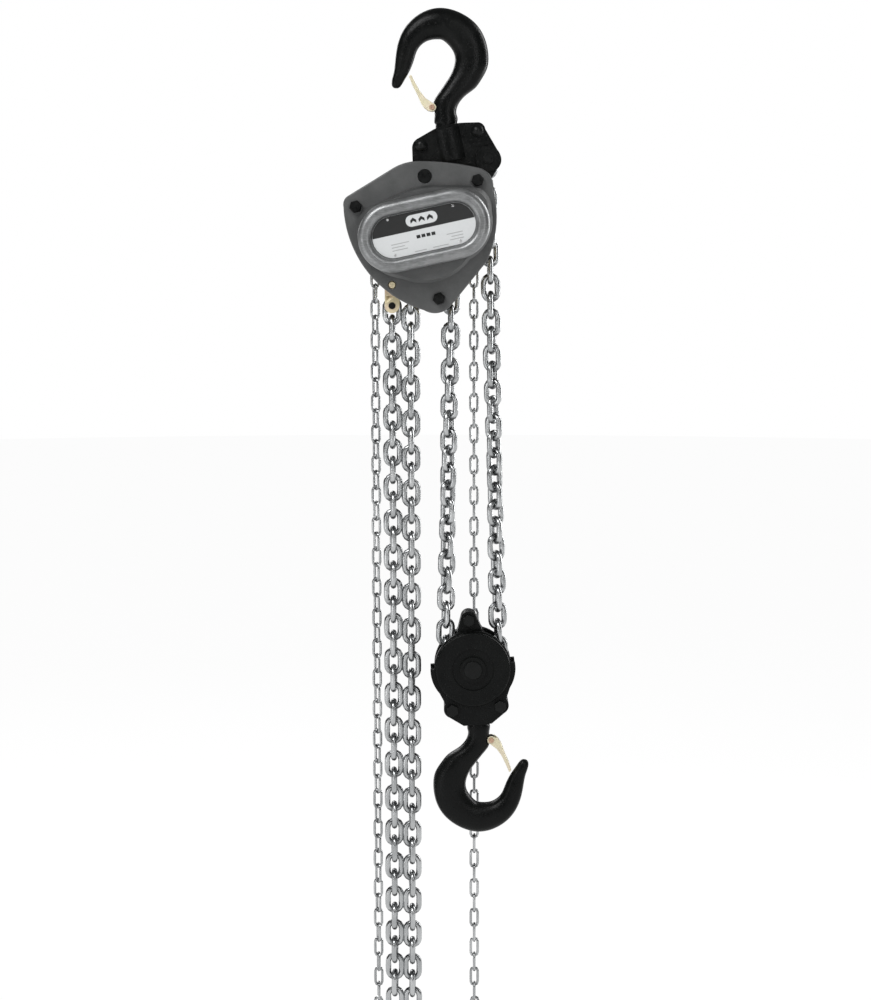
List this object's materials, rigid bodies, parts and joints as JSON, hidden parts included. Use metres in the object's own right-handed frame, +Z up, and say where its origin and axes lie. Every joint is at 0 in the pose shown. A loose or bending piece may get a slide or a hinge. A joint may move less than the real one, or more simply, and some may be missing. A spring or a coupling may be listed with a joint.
{
  "type": "chain hoist",
  "caption": "Hand chain hoist with swivel hooks and spring latches, a yoke, geared body with hand wheel and load sheave, load and hand chains, and a two-fall bottom block.",
  "frame": {"origin": "top hook's seat, where the support bears in its bowl", "axes": "+Z up along the hanging line, gear cover facing -Y, load falls towards +X"},
  "size_m": [0.3143, 0.192, 1.8324],
  "materials": {
    "hook_black": "satin black paint over a forging",
    "cast_black": "satin black paint over a casting",
    "black_oxide": "black oxide",
    "cover_grey": "dark grey metallic paint",
    "yellow_zinc": "pale yellow zinc plate",
    "bright_zinc": "bright zinc plate",
    "label": null,
    "rivet": "bright",
    "copper_rivet": "copper-coloured rivet",
    "friction_lining": "moulded lining",
    "bronze": "machined bronze",
    "machined_steel": "machined"
  },
  "bodies": {
    "top_hook": {"top_hook": "hook_black", "top_hook_nut": "black_oxide", "top_thrust_washer": "bronze", "top_latch_pin": "copper_rivet", "top_latch_spring": "machined_steel"},
    "top_latch": {"top_latch": "yellow_zinc"},
    "frame": {"yoke_front": "cast_black", "yoke_rear": "cast_black", "yoke_bolts": "black_oxide", "chain_anchor_pin": "black_oxide", "suspension_shaft": "machined_steel", "gear_cover": "cover_grey", "cover_plug": "black_oxide", "nameplate": "label", "nameplate_rivets": "rivet", "front_side_plate": "yellow_zinc", "rear_side_plate": "yellow_zinc", "stay_bolts": "black_oxide", "stay_nuts": "black_oxide", "stay_spacers": "machined_steel", "side_plate_bearings": "bronze", "chain_guides": "machined_steel", "tail_anchor_plates": "yellow_zinc", "tail_anchor_rivet": "yellow_zinc", "tail_anchor_pin": "black_oxide", "friction_discs": "friction_lining", "ratchet_disc": "machined_steel", "pawl_pins": "machined_steel", "pawl_springs": "machined_steel", "wheel_cover": "cover_grey", "wheel_cover_screws": "machined_steel", "load_chain_slack_side": "bright_zinc", "falls_upper": "bright_zinc", "hand_chain": "bright_zinc"},
    "load_sheave": {"load_sheave": "machined_steel", "load_gear": "machined_steel"},
    "disc_gear_right": {"disc_gear_right": "machined_steel", "disc_pinion_right": "machined_steel"},
    "disc_gear_left": {"disc_gear_left": "machined_steel", "disc_pinion_left": "machined_steel"},
    "drive": {"drive_shaft": "machined_steel", "brake_hub": "machined_steel", "hand_wheel": "machined_steel", "hand_wheel_nut": "machined_steel"},
    "pawl_right": {"pawl_right": "machined_steel"},
    "pawl_left": {"pawl_left": "machined_steel"},
    "block": {"block_front": "cast_black", "block_rear": "cast_black", "block_bolts": "black_oxide", "idle_axle": "black_oxide", "load_chain_under_idle": "bright_zinc", "falls_lower": "bright_zinc"},
    "idle_sheave": {"idle_sheave": "machined_steel", "idle_bush": "bronze"},
    "bottom_hook": {"bottom_hook": "hook_black", "bottom_hook_nut": "black_oxide", "bottom_thrust_washer": "bronze", "bottom_latch_pin": "copper_rivet", "bottom_latch_spring": "machined_steel"},
    "bottom_latch": {"bottom_latch": "yellow_zinc"}
  },
  "joints": [
    {"name": "top_hook_swivel", "type": "hinge", "parent": "top_hook", "child": "frame", "pos_m": [0.013, 0, -0.165], "axis": [0, 0, 1], "continuous": true},
    {"name": "top_latch_hinge", "type": "hinge", "parent": "top_hook", "child": "top_latch", "pos_m": [-0.01076, 0, -0.1136], "axis": [0, 1, 0], "range_deg": [0, 38], "stiffness_Nm_per_rad": 0.15, "springref_deg": -22.92},
    {"name": "hand_wheel_spin", "type": "hinge", "parent": "frame", "child": "drive", "pos_m": [-0.024, 0, -0.318], "axis": [0, -1, 0], "range_deg": [0, 32400], "deforming": ["hand_chain"]},
    {"name": "disc_gear_right_spin", "type": "hinge", "parent": "frame", "child": "disc_gear_right", "pos_m": [0.03071, 0, -0.30607], "axis": [0, -1, 0], "range_deg": [-5400, 0]},
    {"name": "disc_gear_left_spin", "type": "hinge", "parent": "frame", "child": "disc_gear_left", "pos_m": [-0.07871, 0, -0.32993], "axis": [0, -1, 0], "range_deg": [-5400, 0]},
    {"name": "load_sheave_spin", "type": "hinge", "parent": "frame", "child": "load_sheave", "pos_m": [-0.024, 0, -0.318], "axis": [0, -1, 0], "range_deg": [0, 900], "deforming": ["load_chain_slack_side"]},
    {"name": "lift", "type": "slide", "parent": "frame", "child": "block", "axis": [0, 0, 1], "range_m": [0, 0.3], "deforming": ["falls_upper", "falls_lower", "load_chain_under_idle"]},
    {"name": "idle_sheave_spin", "type": "hinge", "parent": "block", "child": "idle_sheave", "pos_m": [0.059, 0, -1.062], "axis": [0, -1, 0], "range_deg": [-360, 0]},
    {"name": "bottom_hook_swivel", "type": "hinge", "parent": "block", "child": "bottom_hook", "pos_m": [0.069, 0, -1.142], "axis": [0, 0, 1], "continuous": true},
    {"name": "bottom_latch_hinge", "type": "hinge", "parent": "bottom_hook", "child": "bottom_latch", "pos_m": [0.091, 0, -1.19], "axis": [0, 1, 0], "range_deg": [0, 38], "stiffness_Nm_per_rad": 0.15, "springref_deg": -22.92},
    {"name": "pawl_right_hinge", "type": "hinge", "parent": "frame", "child": "pawl_right", "pos_m": [0.02, 0, -0.362], "axis": [0, 1, 0], "range_deg": [0, 14], "stiffness_Nm_per_rad": 0.05, "springref_deg": -17.19},
    {"name": "pawl_left_hinge", "type": "hinge", "parent": "frame", "child": "pawl_left", "pos_m": [-0.068, 0, -0.274], "axis": [0, 1, 0], "range_deg": [0, 14], "stiffness_Nm_per_rad": 0.05, "springref_deg": -17.19}
  ],
  "couplings": [
    {"joint": "disc_gear_right_spin", "follows": "hand_wheel_spin", "ratio": -0.16667},
    {"joint": "disc_gear_left_spin", "follows": "hand_wheel_spin", "ratio": -0.16667},
    {"joint": "load_sheave_spin", "follows": "hand_wheel_spin", "ratio": 0.027778},
    {"joint": "idle_sheave_spin", "follows": "hand_wheel_spin", "ratio": -0.011111},
    {"joint": "lift", "follows": "hand_wheel_spin", "m_per_rad": 0.00053052}
  ]
}
